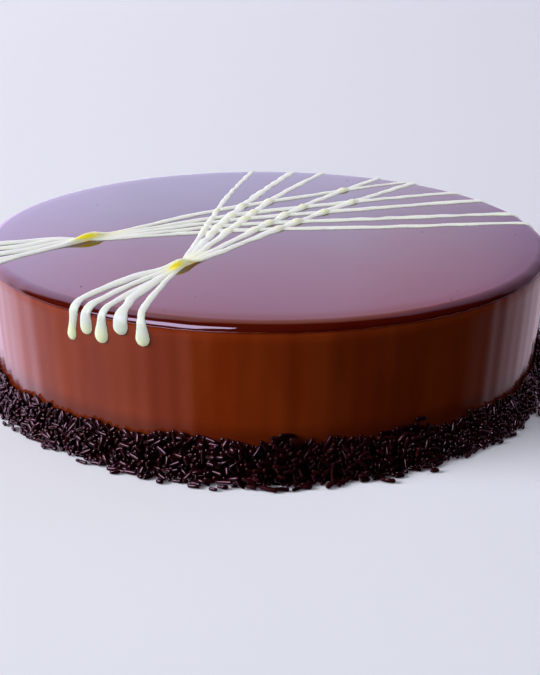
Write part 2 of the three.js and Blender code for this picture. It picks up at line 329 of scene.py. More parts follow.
def white_chocolate():
    """White chocolate with painted light: its own glow stands for the light in it and lifts its
    shaded sides, and a painted yellow glow lies where it is thick.
    """
    finish = Finish("white_chocolate")
    fold = finish.stored("fold")
    cloud = finish.noise(3).between(0.35, 0.65)
    colour = finish.mix(cloud, (0.36, 0.405, 0.355), (0.36, 0.37, 0.41))
    # Tones over the cream: the drops' yellow-green, a painted yellow glow where the chocolate is thick
    # in knots and pinches, and a painted golden glow on its underside in the pinch. Each brings its own
    # painted glow.
    tones = (
        (finish.stored("drop"), (0.39, 0.43, 0.30), (0.35, 0.375, 0.245)),
        (fold.between(0.0, 0.4), (0.37, 0.40, 0.29), (0.35, 0.37, 0.24)),
        (fold.between(0.4, 0.9), (0.50, 0.43, 0.015), (0.47, 0.40, 0.015)),
        (finish.stored("belly"), (0.32, 0.17, 0.005), (0.52, 0.28, 0.005)),
    )
    # Painted light: an even glow over all of the white chocolate.
    glow = (0.305, 0.325, 0.30)
    for share, paint, light in tones:
        colour = finish.mix(share, colour, paint)
        glow = finish.mix(share, glow, light)
    rough = 0.42 + 0.1 * finish.noise(1.2)
    soft = {"Subsurface_Weight": 1.0, "Subsurface_Radius": (1.0, 0.9, 0.7), "Subsurface_Scale": MM}
    bump = (finish.noise(0.8), 0.01)
    lit = {"Emission_Color": glow, "Emission_Strength": 1.0}
    return finish.shade(colour, rough, bump, IOR=1.45, **lit, **soft)


def dark_sprinkles(name):
    finish = Finish(name)
    colour = finish.mix(finish.stored("tone"), (0.003, 0.0005, 0.0009), (0.019, 0.0026, 0.0034))
    rough = 0.06 + 0.12 * finish.noise(0.8)
    bump = (finish.noise(0.35), 0.016)
    tint = (1.0, 0.70, 0.68)
    return finish.shade(colour, rough, bump, IOR=1.5, Specular_IOR_Level=0.5, Specular_Tint=tint)


def deep_shade():
    """The dark between the sprinkles, where no light gets in."""
    finish = Finish("deep_shade")
    cloud = finish.noise(2).between(0.4, 0.7)
    colour = finish.mix(cloud, (0.002, 0.0006, 0.0007), (0.006, 0.0014, 0.0018))
    return finish.shade(colour, 0.9, Specular_IOR_Level=0.0)


# ---- making pieces ----


def laid_down(name, data):
    """Puts a mesh, camera or light into the scene."""
    made = bpy.data.objects.new(name, data)
    bpy.context.scene.collection.objects.link(made)
    return made


def mesh_of(name, points, faces, material=None):
    """A mesh of points in metres."""
    mesh = bpy.data.meshes.new(name)
    mesh.from_pydata(points, [], faces)
    if material:
        mesh.materials.append(material)
    return mesh


def store(mesh, **measures):
    """Stores measures at a mesh's corners, for its material."""
    for key, values in measures.items():
        kept = mesh.attributes.new(key, "FLOAT", "POINT")
        kept.data.foreach_set("value", values.astype(np.float32))


def add_piece(name, points, faces, material, slot, stands_for=(), **measures):
    """A smooth piece that rides on the cake. points are in millimetres."""
    mesh = mesh_of(name, (np.asarray(points) * MM).tolist(), faces, material)
    mesh.shade_smooth()
    store(mesh, **measures)
    finish_piece(laid_down(name, mesh), stands_for)


def finish_piece(piece, stands_for=()):
    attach(piece, "root")
    if stands_for:
        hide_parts(*stands_for)


def full_circle(steps):
    return np.arange(steps) / steps * TURN


def polar(radius, degrees):
    angle = math.radians(degrees)
    return np.array([radius * math.cos(angle), radius * math.sin(angle)])


def reach_of(points):
    """How far from the cake's axis points lie."""
    return np.hypot(points[:, 0], points[:, 1])


def unit(vectors):
    return vectors / np.linalg.norm(vectors, axis=1)[:, None]


def ripple(angle, lowest, highest, count):
    """A wave round the cake between about -1 and 1, the sum of waves of mixed lengths."""
    total = np.zeros_like(angle)
    for _ in range(count):
        turns = rng.integers(lowest, highest + 1)
        total += np.sin(turns * angle + rng.uniform(0, TURN))
    return total / math.sqrt(count)


def ease(low, high, value):
    share = np.clip((value - low) / (high - low), 0, 1)
    return share * share * (3 - 2 * share)


def sleeve(rings, sides, first=0):
    """The faces of a skin over rings of points that follow each other, counted from first."""
    faces = []
    for ring in range(rings - 1):
        for k in range(sides):
            a = first + ring * sides + k
            b = first + ring * sides + (k + 1) % sides
            faces.append((a, b, b + sides, a + sides))
    return faces


def turned(radius, height, closed):
    """Points and faces of a turned skin. radius and height have a row for each step round the
    ring and a column for each point of the profile, which closes on itself or on the axis."""
    steps, count = radius.shape
    angle = full_circle(steps)
    x = radius * np.cos(angle)[:, None]
    y = radius * np.sin(angle)[:, None]
    points = np.stack([x, y, height], axis=2).reshape(-1, 3)
    faces = []
    for step in range(steps):
        here = step * count
        there = (step + 1) % steps * count
        for k in range(count if closed else count - 1):
            after = (k + 1) % count
            faces.append((here + k, there + k, there + after, here + after))
    if not closed:
        for k, flip in ((0, True), (count - 1, False)):
            points = np.vstack([points, [[0, 0, height[0, k]]]])
            middle = len(points) - 1
            for step in range(steps):
                here = step * count + k
                there = (step + 1) % steps * count + k
                faces.append((middle, there, here) if flip else (middle, here, there))
    return points, faces


# ---- the cake's skin ----


def skin_outline():
    """Radius and height from the middle of the top, over the rim and down to the foot."""
    out = np.linspace(0, FLAT_RADIUS, 60)
    roll = np.clip((out - FLAT_RADIUS + ROLL_WIDTH) / ROLL_WIDTH, 0, 1)
    top = np.stack([out, CAKE_HEIGHT - ROLL_DROP * roll**2], axis=1)
    drop = SHOULDER_DROP - ROLL_DROP
    turn = np.linspace(0, math.pi / 2, 26)[1:]
    radius = FLAT_RADIUS + SHOULDER_WIDTH * np.sin(turn)
    height = CAKE_HEIGHT - ROLL_DROP - drop * (1 - np.cos(turn))
    shoulder = np.stack([radius, height], axis=1)
    wall = [[CAKE_RADIUS, z] for z in np.linspace(WALL_TOP, 0, 40)[1:]]
    return np.vstack([top, shoulder, wall])


def run_of(path):
    """How far along a path each of its points lies."""
    return np.concatenate([[0], np.cumsum(np.hypot(*np.diff(path, axis=0).T))])


def points_along(path, run, at):
    """Where the path is after the given runs."""
    return np.stack([np.interp(at, run, path[:, k]) for k in (0, 1)], axis=1)


SKIN = skin_outline()
SKIN_RUN = run_of(SKIN)
RIM_RUN = SKIN_RUN[-1] - FLAT_RADIUS - WALL_TOP


def draped(plan, lift):
    """Lays plan points on the cake, lift above its skin. Their distance from the middle is
    measured along the skin, so what is long enough bends over the rim."""
    run = reach_of(plan)
    ahead = 0.4
    foot = points_along(SKIN, SKIN_RUN, run)
    before = points_along(SKIN, SKIN_RUN, run - ahead)
    after = points_along(SKIN, SKIN_RUN, run + ahead)
    slope = unit(after - before)
    radius = foot[:, 0] - slope[:, 1] * lift
    height = foot[:, 1] + slope[:, 0] * lift
    return np.stack([plan[:, 0] / run * radius, plan[:, 1] / run * radius, height], axis=1)


def glazed_cake():
    angle = full_circle(720)
    outline = SKIN[SKIN[:, 1] >= WALL_TOP - 1e-6][1:]
    lip = [[CAKE_RADIUS - inside, WALL_TOP - down] for inside, down in GLAZE_LIP]
    core = CAKE_RADIUS - BAND_THICKNESS - BODY_GAP
    below = [[core, z] for z in (WALL_TOP - LIP_DEPTH, WALL_TOP / 2, 0)]
    out, up = np.vstack([outline, lip, below]).T
    inset = GLAZE_INSET * ease(FLAT_RADIUS, CAKE_RADIUS, out)
    rim = ease(FLAT_RADIUS, CAKE_RADIUS - LIP_DEPTH, out)
    swell = GLAZE_WAVE * ripple(angle, 9, 60, 14)
    radius = out - inset + swell[:, None] * rim
    sag = 0.8 * GLAZE_WAVE * ripple(angle, 12, 80, 14)
    height = up + sag[:, None] * rim * (up > WALL_TOP - 1)
    x = radius * np.cos(angle)[:, None]
    y = radius * np.sin(angle)[:, None]
    wide_wave = np.sin(x / 13 + 0.4) * np.cos(y / 17 + 1)
    slant_wave = 0.7 * np.sin((x + y) / 9) * np.sin(y / 21)
    height = height + TOP_WAVE * (wide_wave + slant_wave) * (up > WALL_TOP)
    points, faces = turned(radius, height, closed=False)
    add_piece("glazed_cake", points, faces, mirror_glaze(), "dark_glaze", ["cake_body"])


def glaze_bubbles():
    """Tiny domes where air has risen in the glaze: those given and more on the far side."""
    chance = np.random.default_rng(5)
    directions = chance.uniform(-20, 200, MORE_BUBBLES)
    reaches = 100 * np.sqrt(chance.uniform(0, 1, MORE_BUBBLES))
    sides, rows = 12, 4
    points, faces = [], []
    for direction, reach in [*GLAZE_BUBBLES, *zip(directions, reaches)]:
        size = chance.uniform(0.16, 0.30)
        first = len(points)
        middle = polar(reach, direction)
        for row in range(rows):
            rise = row / rows * math.pi / 2
            ring = [middle + polar(size * math.cos(rise), 360 * k / sides) for k in range(sides)]
            points += draped(np.array(ring), 0.8 * size * math.sin(rise) - BUBBLE_SINK).tolist()
        points += draped(middle[None], 0.8 * size - BUBBLE_SINK).tolist()
        last = first + (rows - 1) * sides
        faces += sleeve(rows, sides, first)
        faces += [(last + k, last + (k + 1) % sides, last + sides) for k in range(sides)]
        faces.append(tuple(first + k for k in reversed(range(sides))))
    add_piece("glaze_bubbles", points, faces, mirror_glaze(), "dark_glaze")


def milk_chocolate_band():
    angle = full_circle(1440)
    inner = CAKE_RADIUS - BAND_THICKNESS
    crest = WALL_TOP + BAND_RISE
    walls = [[CAKE_RADIUS, z] for z in np.linspace(0, crest - BAND_BEVEL, 14)]
    bevel = [[CAKE_RADIUS - BAND_BEVEL * a, crest - BAND_BEVEL * b] for a, b in ((0.5, 0.2), (1.6, 0))]
    out, up = np.array(walls + bevel + [[inner, crest], [inner, 0]]).T
    face = out > CAKE_RADIUS - 0.5
    streak = BAND_STREAK * (0.6 * ripple(angle, 40, 110, 16) + 0.5 * ripple(angle, 8, 30, 8))
    lean = np.sin(up / 19 + 0.6)
    other = BAND_STREAK * 0.5 * ripple(angle, 30, 90, 12)
    radius = out + face * (streak[:, None] + other[:, None] * lean)
    edge = BAND_EDGE_WAVE * (0.5 * ripple(angle, 5, 25, 8) + 0.35 * ripple(angle, 40, 140, 14))
    height = up + edge[:, None] * ease(WALL_TOP - 6, WALL_TOP, up)
    points, faces = turned(radius, height, closed=True)
    material = milk_chocolate()
    add_piece("milk_chocolate_band", points, faces, material, "milk_chocolate", ["chocolate_band"])


# ---- piped lines ----


def hump(way, width):
    """1 where way is 0, and less with every width away from it."""
    return np.exp(-((way / width) ** 2))


def sideways(plan):
    """The direction to the left of a route, all along it."""
    heading = unit(np.gradient(plan, axis=0))
    return np.stack([-heading[:, 1], heading[:, 0]], axis=1)


def unsteady(way, count, weakest, shortest, longest):
    """A wave along a line, the sum of waves of mixed strengths and lengths."""
    total = np.zeros_like(way)
    for _ in range(count):
        strength = rng.uniform(weakest, 1)
        total += strength * np.sin(way / rng.uniform(shortest, longest) + rng.uniform(0, 6.3))
    return total


def between(start, stop, share, aside):
    """The point a share of the way from start to stop, moved aside to the left."""
    heading = (stop - start) / np.linalg.norm(stop - start)
    return start + (stop - start) * share + np.array([-heading[1], heading[0]]) * aside


def smooth_route(knots):
    """Points LINE_STEP apart along a smooth curve through the knots (centripetal Catmull-Rom), how
    far along it they lie, and how far the knots do."""
    fine = 80
    t = np.linspace(0, 1, fine, endpoint=False)[:, None]
    knots = [2 * knots[0] - knots[1], *knots, 2 * knots[-1] - knots[-2]]
    dense = []
    for a, b, c, d in zip(knots, knots[1:], knots[2:], knots[3:]):
        ab, bc, cd = (math.sqrt(np.linalg.norm(q - p)) for p, q in ((a, b), (b, c), (c, d)))
        leave = ((b - a) / ab - (c - a) / (ab + bc) + (c - b) / bc) * bc
        reach = ((c - b) / bc - (d - b) / (bc + cd) + (d - c) / cd) * bc
        dense.append(
            b * (2 * t**3 - 3 * t**2 + 1)
            + c * (3 * t**2 - 2 * t**3)
            + leave * (t**3 - 2 * t**2 + t)
            + reach * (t**3 - t**2)
        )
    dense = np.vstack([*dense, knots[-2][None]])
    run = run_of(dense)
    even = np.linspace(0, run[-1], int(run[-1] / LINE_STEP) + 1)
    return points_along(dense, run, even), even, run[::fine]


def line_route(line, pinch):
    """The way a line runs, and how far along it its tip, rim, half way, pinch, middle and far rim
    are, and its end."""
    tip, wall, rim, inside = line["in"]
    entry = polar(FLAT_RADIUS - BEND_RUN, inside)
    middle = np.array(pinch, float)
    far = polar(FLAT_RADIUS, line["out"][0])
    knots = [
        polar(FLAT_RADIUS + RIM_RUN + line["drip"], tip),
        polar(FLAT_RADIUS + RIM_RUN, wall),
        polar(FLAT_RADIUS, rim),
        entry,
        between(entry, middle, 0.5, line["sway"]),
        middle,
        between(middle, far, 1 / 3, line["bow"][0]),
        between(middle, far, 2 / 3, line["bow"][1]),
        far,
        polar(FLAT_RADIUS + RIM_RUN + line["end"], line["out"][1]),
    ]
    plan, way, at = smooth_route(knots)
    wobble = LINE_WOBBLE * unsteady(way, 4, 0.3, 1.6, 4.5) * (0.4 + 0.6 * ease(at[5], at[6], way))
    plan = plan + sideways(plan) * wobble[:, None]
    return plan, way, (at[0], at[2], at[4], at[5], (at[6] + at[7]) / 2, at[8], at[9])


def drop_half_width(way, bulb, line):
    """Half of a line's width, a given way from its round tip: a drop that runs into the line."""
    head = bulb * np.sqrt(np.clip(1 - (1 - np.minimum(way, bulb) / bulb) ** 2, 0.01, 1))
    neck = line + (bulb - line) * hump(way - bulb, 1.5 * bulb)
    return np.where(way < bulb, head, neck)


def eased(place, places, values):
    """Runs smoothly from value to value."""
    result = np.full(len(place), float(values[0]))
    for k in range(len(places) - 1):
        step = ease(places[k], places[k + 1], place)
        result += step * (values[k + 1] - values[k])
    return result


def line_half_width(line, way, knot_ways):
    """Half of a line's width all along, with a drop at both ends."""
    tip, near, half_way, pinch, middle, far, end = knot_ways
    places = (tip + line["bulb"], near - 0.5 * RIM_RUN, half_way, pinch, middle, far)
    uneven = 1 + LINE_UNEVENNESS * unsteady(way, 5, 0.4, 1.5, 9)
    plain = (eased(way, places, line["girth"]) + LINE_SPREAD) / 2 * uneven
    start = drop_half_width(way, (line["bulb"] + 1.3 * LINE_SPREAD) / 2, plain)
    finish = drop_half_width(end - way, END_BULB, plain)
    return np.where(way < half_way, start, finish)


def crossings(one, other):
    """Where two routes cross: how many steps along each."""
    found = []
    start, along = one[:-1], np.diff(one, axis=0)
    for k in range(len(other) - 1):
        origin, step = other[k], other[k + 1] - other[k]
        cross = along[:, 0] * step[1] - along[:, 1] * step[0]
        gap = origin - start
        with np.errstate(divide="ignore", invalid="ignore"):
            s = (gap[:, 0] * step[1] - gap[:, 1] * step[0]) / cross
            t = (gap[:, 0] * along[:, 1] - gap[:, 1] * along[:, 0]) / cross
        for hit in np.nonzero((s >= 0) & (s < 1) & (t >= 0) & (t < 1))[0]:
            found.append((hit + s[hit], k + t[hit]))
    return found


def pile_up(along, order, on_top, pile):
    """How far a line is lifted in the pinch by those under it, and how much of that is hollow."""
    step, before, after = pile
    spread = np.where(along < 0, before, after)
    lift = step * order * hump(along, spread)
    if not on_top:
        return lift, np.zeros_like(lift)
    return lift + TOP_LINE_RISE * hump(along, 0.6 * spread), ease(0.5, 2.5, along)


def lay_bunch(bunch):
    """Routes, widths, heights and lifts of a bunch's lines."""
    laid = []
    for rank, row in enumerate(bunch["lines"]):
        line = dict(zip(LINE_KEYS, row))
        plan, way, knot_ways = line_route(line, bunch["pinch"])
        half = line_half_width(line, way, knot_ways)
        hangs = ease(FLAT_RADIUS + 0.5 * RIM_RUN, FLAT_RADIUS + RIM_RUN + 3, reach_of(plan))
        flat = LINE_HEIGHT * (2 * half / LINE_WIDTH) ** 0.6
        high = flat + hangs * (DROP_HEIGHT * half / 2 - flat)
        under = abs(rank - bunch["top_line"])
        order = len(bunch["lines"]) - 1 - under
        lift, hollow = pile_up(way - knot_ways[3], order, under == 0, bunch["pile"])
        laid.append(dict(plan=plan, half=half, high=high, lift=lift, hollow=hollow, way=way))
    return laid


def climb_over(upper, others):
    """Lifts and swells a line where it crosses the others. Gives the place and size of each knot."""
    climb, bridge, swell = np.zeros((3, len(upper["way"])))
    knots = []
    for lower in others:
        for at, below in crossings(upper["plan"], lower["plan"]):
            place = upper["plan"][int(at)]
            gap = upper["way"] - at * LINE_STEP
            top = lower["high"][int(below)] + lower["lift"][int(below)]
            size = rng.uniform(0.7, 1.3)
            if np.hypot(*(place - BIG_KNOT)) < BIG_KNOT_REACH:
                size = BIG_KNOT_SIZE
            full = ease(*PRESSED_FLAT, np.hypot(*(place - BUNCHES["left"]["pinch"])))
            size *= 0.45 + 0.55 * full
            rise = (0.4 + 0.8 * full) * top * hump(gap, np.where(gap < 0, 3.4, 3.0))
            bridge = np.where(rise > climb, ease(0.2, 1.6, gap), bridge)
            climb = np.maximum(climb, rise)
            swell = np.maximum(swell, hump(gap + 1.2, 4.0) * size)
            knots.append([*upper["plan"][max(int(at) - 2, 0)], size])
    upper["half"] = upper["half"] + KNOT_WIDTH * swell
    upper["high"] = upper["high"] + KNOT_HEIGHT * swell
    upper["hollow"] = np.where(climb > upper["lift"], bridge, upper["hollow"])
    upper["lift"] = np.maximum(upper["lift"], climb)
    return knots


def lay_lines():
    """All lines by bunch, and the place and size of each knot. The front bunch is piped last, so
    its lines climb over the others."""
    laid = {name: lay_bunch(bunch) for name, bunch in BUNCHES.items()}
    knots = []
    for upper in laid["front"]:
        knots += climb_over(upper, laid["left"])
    return laid, knots


def line_tube(line, first):
    """Points and faces of one line's closed tube, its faces counted from first."""
    widest, tuck = 0.06, 0.12  # how high up it is widest, and how much narrower its foot is
    left = sideways(line["plan"])
    foot = line["lift"] * line["hollow"] - LINE_SINK
    height = line["lift"] + line["high"] - foot
    rings = []
    for angle in full_circle(LINE_SIDES):
        rise = math.sin(angle)
        upper = rise > 0
        aside = line["half"] * math.cos(angle) * (1 if upper else 1 + tuck * rise)
        up = foot + height * (widest + (1 - widest if upper else widest) * rise)
        rings.append(draped(line["plan"] + left * aside[:, None], up))
    points = np.stack(rings, axis=1).reshape(-1, 3)
    ring = range(LINE_SIDES)
    faces = sleeve(len(left), LINE_SIDES, first)
    faces.append(tuple(first + k for k in reversed(ring)))
    faces.append(tuple(first + len(points) - LINE_SIDES + k for k in ring))
    return points, faces


def fused(name, points, faces):
    """The tubes joined into one skin."""
    piece = laid_down(name, mesh_of(name, (points * MM).tolist(), faces))
    melt = piece.modifiers.new("melt", "REMESH")
    melt.mode = "VOXEL"
    melt.voxel_size = FUSE_SIZE * MM
    soften = piece.modifiers.new("soften", "SMOOTH")
    soften.factor = 0.5
    soften.iterations = 4
    ready = piece.evaluated_get(bpy.context.evaluated_depsgraph_get())
    shaped = bpy.data.meshes.new_from_object(ready)
    bpy.data.objects.remove(piece)
    return shaped


def corner_vectors(mesh, key):
    values = np.zeros(len(mesh.vertices) * 3, np.float32)
    mesh.vertices.foreach_get(key, values)
    return values.reshape(-1, 3).astype(float)


def fold_streak(aside, fold):
    """The painted yellow glow on a pinch: a streak on a plane that leans back, with a paler one round
    it.
    """
    east, rise, turn, run = fold
    right = aside[:, 0] - east
    up = 0.37 * aside[:, 1] + 0.93 * aside[:, 2] - rise
    turn = math.radians(turn)
    along = right * math.cos(turn) + up * math.sin(turn)
    across = up * math.cos(turn) - right * math.sin(turn)
    near = hump(along, run) * hump(across, 1.25)
    wide = hump(along - 1.3 * run, 2.4 * run) * hump(across - 0.3, 2.4)
    return near + 0.36 * wide * (1 - near)


def paint_lines(mesh, bunch, knots):
    """Stores the painted yellow glow on the thick chocolate of the pinch and the knots, where it hangs
    in a drop, and the painted golden glow where it faces down in the pinch."""
    spots = corner_vectors(mesh, "co") / MM
    facing = corner_vectors(mesh, "normal")
    aside = spots - np.array([*bunch["pinch"], CAKE_HEIGHT])
    # Painted yellow glow: the streak on the pinch, and a paler one on each knot.
    fold = fold_streak(aside, bunch["fold"])
    for x, y, size in knots:
        apart = ((spots[:, 0] - x) ** 2 + (spots[:, 1] - y) ** 2) / 3.6**2
        fold = np.maximum(fold, 0.25 * (0.5 + 0.5 * size) * hump(apart, 1))
    drop = ease(3.5, 9.5, CAKE_HEIGHT - spots[:, 2])
    # Painted golden glow on the undersides in the pinch, which the glaze mirrors.
    belly = ease(0.1, -0.3, facing[:, 2]) * hump(reach_of(aside), 9)
    store(mesh, fold=fold, drop=drop, belly=belly)


def piped_lines():
    laid, knots = lay_lines()
    material = white_chocolate()
    for name, bunch in BUNCHES.items():
        points, faces = np.zeros((0, 3)), []
        for line in laid[name]:
            made, sides = line_tube(line, len(points))
            points = np.vstack([points, made])
            faces += sides
        mesh = fused(name + "_bunch", points, faces)
        paint_lines(mesh, bunch, knots if name == "front" else ())
        mesh.shade_smooth()
        mesh.materials.append(material)
        finish_piece(laid_down(name + "_bunch", mesh), ["piped_lines"])


# ---- sprinkles ----


def heap_reach(height):
    """How far the heap stands off the wall at a height, on average."""
    share = np.clip(height / HEAP_HEIGHT, 0, 1)
    return HEAP_WIDTH * (1 - share) ** 0.75 * (1 + 0.25 * share)


class Heap:
    """The heap's lumpy outline round the cake. It follows HEAP_CRESTS where they are given."""

    def __init__(self):
        angle = self.angle = np.linspace(0, TURN, 721)
        wave = 0.6 * ripple(angle, 3, 9, 5) + 0.8 * ripple(angle, 18, 60, 12)
        directions, crests = zip(*HEAP_CRESTS)
        given = np.radians(directions) + TURN
        shown = np.interp(angle, given, crests) / HEAP_HEIGHT - 1
        fade = 0.1
        share = ease(given[0] - fade, given[0], angle) * ease(given[-1] + fade, given[-1], angle)
        self.rise = 0.085 * wave * (1 - share) + (shown + 0.02) * share
        self.spread = 0.05 * (ripple(angle, 5, 20, 6) + ripple(angle, 30, 70, 8))

    def scale(self, angle):
        """How much higher and wider than usual the heap is in some directions."""
        angle = np.mod(angle, TURN)
        rise = 1 + np.interp(angle, self.angle, self.rise)
        spread = 1 + np.interp(angle, self.angle, self.spread)
        return rise, spread

    def depth(self, centre):
        """How far inside the outline a point lies, along the floor."""
        rise, spread = self.scale(np.arctan2(centre[:, 1], centre[:, 0]))
        return heap_reach(centre[:, 2] / rise) * spread - (reach_of(centre) - CAKE_RADIUS)


def overlapping_pairs(beads, owner, size):
    """Pairs of beads of different sprinkles that may touch: those in the same or the next cell."""
    cell = np.floor(beads / size).astype(np.int64)
    cell -= cell.min(axis=0) - 1
    spans = cell.max(axis=0) + 2
    key = (cell[:, 0] * spans[1] + cell[:, 1]) * spans[2] + cell[:, 2]
    order = np.argsort(key, kind="stable")
    ranked = key[order]
    firsts, seconds = [], []
    for step in np.ndindex(3, 3, 3):
        dx, dy, dz = np.array(step) - 1
        there = key + (dx * spans[1] + dy) * spans[2] + dz
        low = np.searchsorted(ranked, there, "left")
        count = np.searchsorted(ranked, there, "right") - low
        one = np.repeat(np.arange(len(beads)), count)
        offset = np.arange(len(one)) - np.repeat(np.cumsum(count) - count, count)
        two = order[np.repeat(low, count) + offset]
        keep = (one < two) & (owner[one] != owner[two])
        firsts.append(one[keep])
        seconds.append(two[keep])
    return np.concatenate(firsts), np.concatenate(seconds)


def push_apart(beads, owner, radius):
    """Moves beads of different sprinkles out of each other."""
    one, two = overlapping_pairs(beads, owner, 2 * radius.max())
    gap = beads[two] - beads[one]
    distance = np.linalg.norm(gap, axis=1) + 1e-9
    over = radius[owner[one]] + radius[owner[two]] - distance
    hit = over > 0
    push = gap[hit] / distance[hit, None] * (over[hit] * 0.42)[:, None]
    for k in range(3):
        beads[:, k] -= np.bincount(one[hit], push[:, k], len(beads))
        beads[:, k] += np.bincount(two[hit], push[:, k], len(beads))


def settled(centre, axis, half, radius, heap):
    """Lets sprinkles push each other apart and slump on to the floor and the wall."""
    rounds, still = 45, 8  # nothing slumps in the last, still rounds
    fall, slack, pull = 0.05, 0.3, 0.4
    spots = np.linspace(-1, 1, 4)
    count = len(centre)
    owner = np.repeat(np.arange(count), len(spots))
    for turn in range(rounds):
        beads = centre[:, None] + axis[:, None] * (spots[None, :, None] * half[:, None, None])
        beads = beads.reshape(-1, 3)
        push_apart(beads, owner, radius)
        if turn < rounds - still:
            beads[:, 2] -= fall
            reach = reach_of(beads)
            out = np.clip(-heap.depth(beads) - slack, 0, 1) * pull
            beads[:, :2] -= beads[:, :2] / reach[:, None] * out[:, None]
        reach = reach_of(beads)
        short = np.clip(CAKE_RADIUS + WALL_GAP + radius[owner] - reach, 0, None)
        beads[:, :2] += beads[:, :2] / reach[:, None] * short[:, None]
        beads[:, 2] = np.maximum(beads[:, 2], radius[owner])
        beads = beads.reshape(count, len(spots), 3)
        centre = beads.mean(axis=1)
        axis = unit(beads[:, -1] - beads[:, 0])
    return centre, axis


def sprinkle_mesh(centre, axis, half, radius):
    """Points and faces of many sprinkles, short rods with round ends that are slightly bent, and
    the number of points of each."""
    sides = 8
    count, each = len(centre), len(SPRINKLE_RINGS) * sides
    helper = np.where(np.abs(axis[:, 2:]) > 0.9, [[1.0, 0, 0]], [[0, 0, 1.0]])
    across = unit(np.cross(axis, helper))
    beside = np.cross(axis, across)
    bend = rng.normal(0, 0.09, count) * half
    rings = []
    for end, inward, width in SPRINKLE_RINGS:
        along = end * (half + radius * (1 - inward) * 0.8)
        middle = centre + axis * along[:, None] + across * (bend * (1 - abs(end)))[:, None]
        for angle in full_circle(sides):
            spoke = across * math.cos(angle) + beside * math.sin(angle)
            rings.append(middle + spoke * (radius * width)[:, None])
    points = np.stack(rings, axis=1).reshape(-1, 3)
    first = (np.arange(count) * each)[:, None, None]
    ring = np.arange(sides)
    quads = np.array(sleeve(len(SPRINKLE_RINGS), sides)) + first
    caps = np.array([ring[::-1], ring + each - sides]) + first
    return points, quads.reshape(-1, 4).tolist() + caps.reshape(-1, sides).tolist(), each


def drawn_up(centre, axis, half, radius, heap):
    """Moves the settled sprinkles up or down a little, so that the heap's crest follows its line."""
    sectors, least, most = 300, 0.75, 1.35
    angle = np.arctan2(centre[:, 1], centre[:, 0])
    spot = np.mod(angle / TURN * sectors, sectors).astype(int)
    crest = np.zeros(sectors)
    np.maximum.at(crest, spot, centre[:, 2] + np.abs(axis[:, 2]) * half + radius)
    middle = (np.arange(sectors) + 0.5) / sectors * TURN
    wanted = HEAP_HEIGHT * heap.scale(middle)[0]
    ratio = np.clip(wanted / crest, least, most)
    ratio = (np.roll(ratio, 1) + 3 * ratio + np.roll(ratio, -1)) / 5
    around = np.concatenate([middle - TURN, middle, middle + TURN])
    angle = np.mod(angle, TURN)
    stretch = np.interp(angle, around, np.tile(ratio, 3)) - 1
    share = np.clip(centre[:, 2] / np.interp(angle, middle, wanted), 0, 1)
    lifted = centre.copy()
    lifted[:, 2] *= 1 + stretch * share
    return lifted


def spots_at(reach, angle, height):
    return np.stack([reach * np.cos(angle), reach * np.sin(angle), height + 0 * angle], axis=1)


def sizes_of(count, usual, spread, shortest, longest, thinnest, thickest):
    """Lengths and radii of sprinkles."""
    length = np.clip(rng.normal(usual, spread, count), shortest, longest)
    return length, SPRINKLE_RADIUS * np.clip(rng.normal(1, 0.1, count), thinnest, thickest)


def half_rod(length, radius):
    """Half the way between the middles of a sprinkle's round ends."""
    return np.maximum(length / 2 - radius, 0.25)


def scattered(heap):
    """Loose sprinkles that lie flat on the floor just outside the heap, and the stuck one: their
    middles, axes, lengths and radii."""
    count = STRAY_COUNT
    angle = rng.uniform(-math.pi, math.pi, count)
    length, radius = sizes_of(count, 3.6, 1.1, 1.6, 6, 0.8, 1.2)
    edge = CAKE_RADIUS + HEAP_WIDTH * heap.scale(angle)[1]
    reach = edge + 0.4 + rng.uniform(0, 1, count) ** 2 * 1.8
    turn = angle + math.pi / 2 + rng.normal(0, 0.35, count)
    direction, height = STUCK_SPRINKLE
    spot = polar(CAKE_RADIUS + SPRINKLE_RADIUS + 0.2, direction)
    along = polar(1, direction + 90)
    centre = np.vstack([spots_at(reach, angle, radius), [[*spot, height]]])
    axis = np.vstack([spots_at(1, turn, 0), [[*along, -0.05]]])
    return centre, axis, np.append(length, STUCK_LENGTH), np.append(radius, SPRINKLE_RADIUS)


def poured(heap):
    """The heap's sprinkles before they settle: their middles, axes, lengths and radii. Most lie
    along the cake, and some down the slope or out of it."""
    count = SPRINKLE_COUNT
    angle = rng.uniform(-math.pi, math.pi, count)
    rise, spread = heap.scale(angle)
    up = HEAP_HEIGHT * rise * rng.uniform(0.03, 1.0, count) ** 0.9
    off = heap_reach(up / rise) * spread
    inside = rng.uniform(0, 1, count) * np.minimum(off, 2.6)
    reach = CAKE_RADIUS + np.clip(off - inside, 0.7, None)
    outward = spots_at(1, angle, 0)
    around = np.stack([-outward[:, 1], outward[:, 0], outward[:, 2]], axis=1)
    lean = rng.normal(0, 0.75, count)[:, None]
    toward = rng.normal(0, 0.4, count)[:, None]
    slope = unit(outward * 0.45 - np.array([[0, 0, 1.0]]))
    facing = np.cross(around, slope)
    axis = unit(around * np.cos(lean) + slope * np.sin(lean) + facing * toward)
    return spots_at(reach, angle, up), axis, *sizes_of(count, 3.9, 1.0, 1.8, 6.2, 0.78, 1.3)


